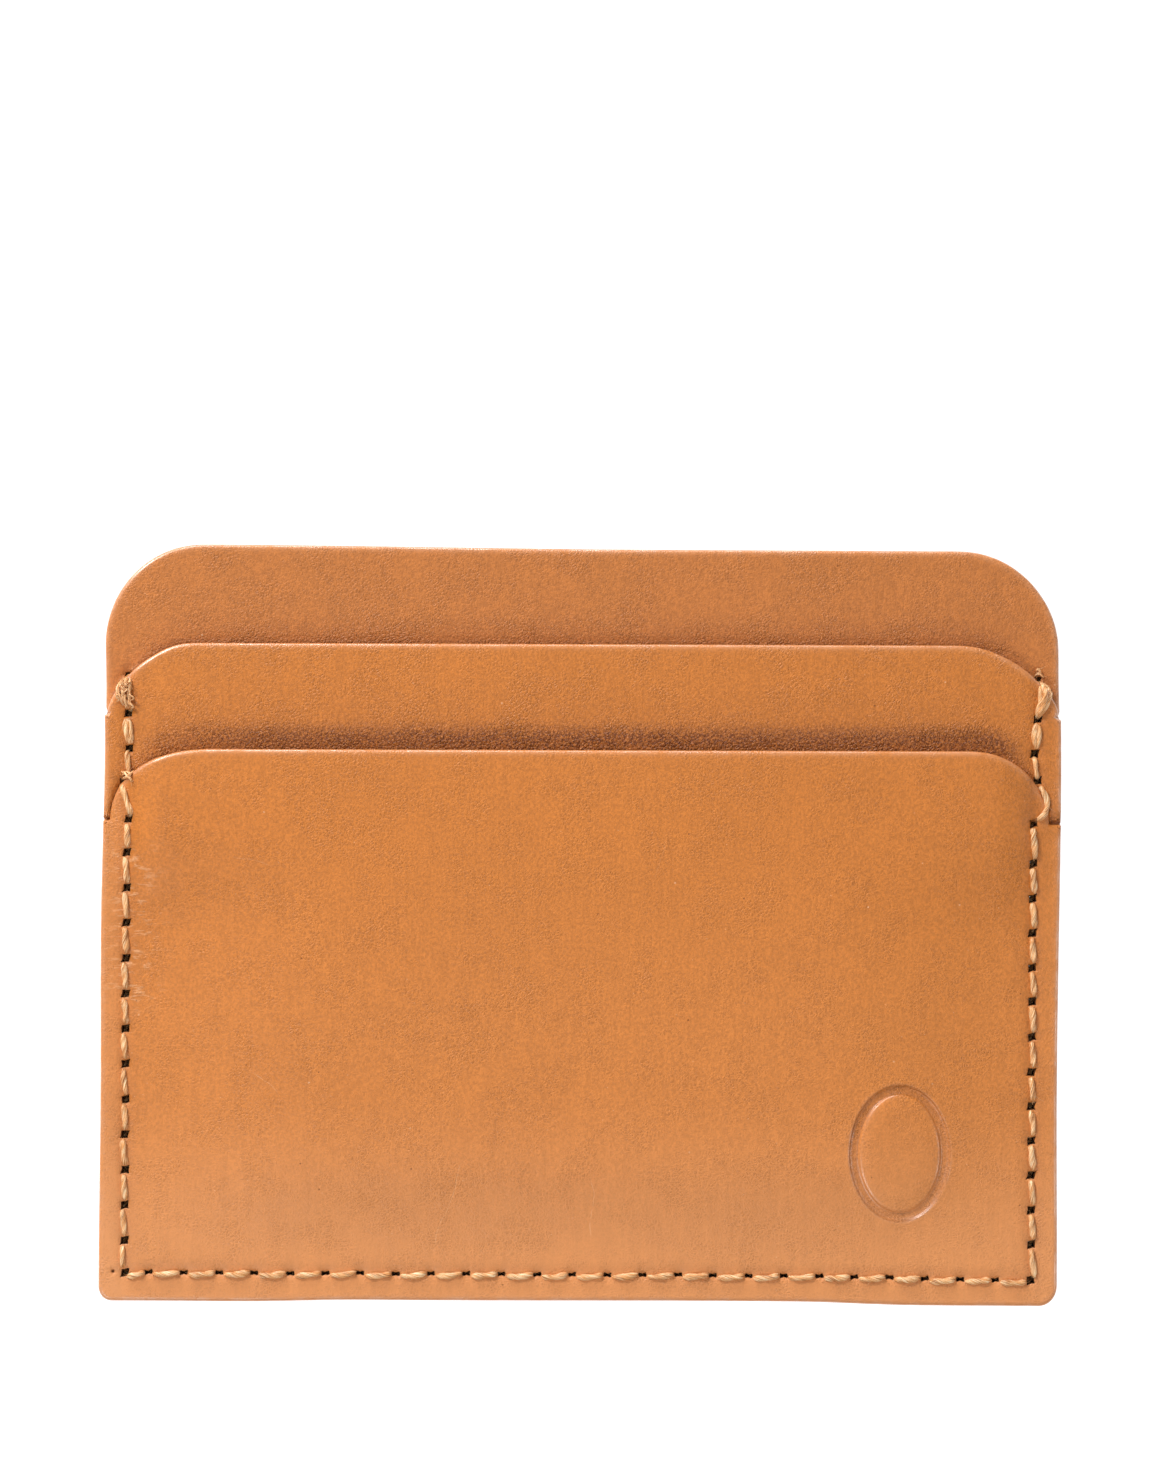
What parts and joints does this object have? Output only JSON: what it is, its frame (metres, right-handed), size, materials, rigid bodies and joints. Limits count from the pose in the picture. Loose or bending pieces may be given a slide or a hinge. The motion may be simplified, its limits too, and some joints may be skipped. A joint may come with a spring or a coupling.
{
  "type": "card holder",
  "caption": "Slim leather card holder with a centre compartment, stepped card pockets on its front and contrast stitching along its sides and base.",
  "frame": {"origin": "middle of the holder's footprint on the surface it lies on, at the rear panel's back face", "axes": "+Z out of the front face, away from the surface; +Y towards the pocket mouths; +X to the right seen from the front"},
  "size_m": [0.1, 0.0786, 0.0057],
  "materials": {
    "body_leather": "smooth tan vegetable-tanned leather, satin",
    "pocket_leather": "smooth tan vegetable-tanned leather, satin",
    "sewing_thread": "pale waxed twisted thread",
    "seam_tape": "thin double-sided tape, matt"
  },
  "bodies": {
    "root": {"rear_panel": "body_leather", "centre_panel": "body_leather", "upper_pocket": "pocket_leather", "front_pocket": "pocket_leather", "needle_thread": "sewing_thread", "bobbin_thread": "sewing_thread", "base_seam_needle_thread": "sewing_thread", "base_seam_bobbin_thread": "sewing_thread", "left_thread_end": "sewing_thread", "right_thread_end": "sewing_thread", "rear_seam_tape": "seam_tape", "front_seam_tape": "seam_tape", "left_tab_tape": "seam_tape", "right_tab_tape": "seam_tape"}
  },
  "joints": []
}
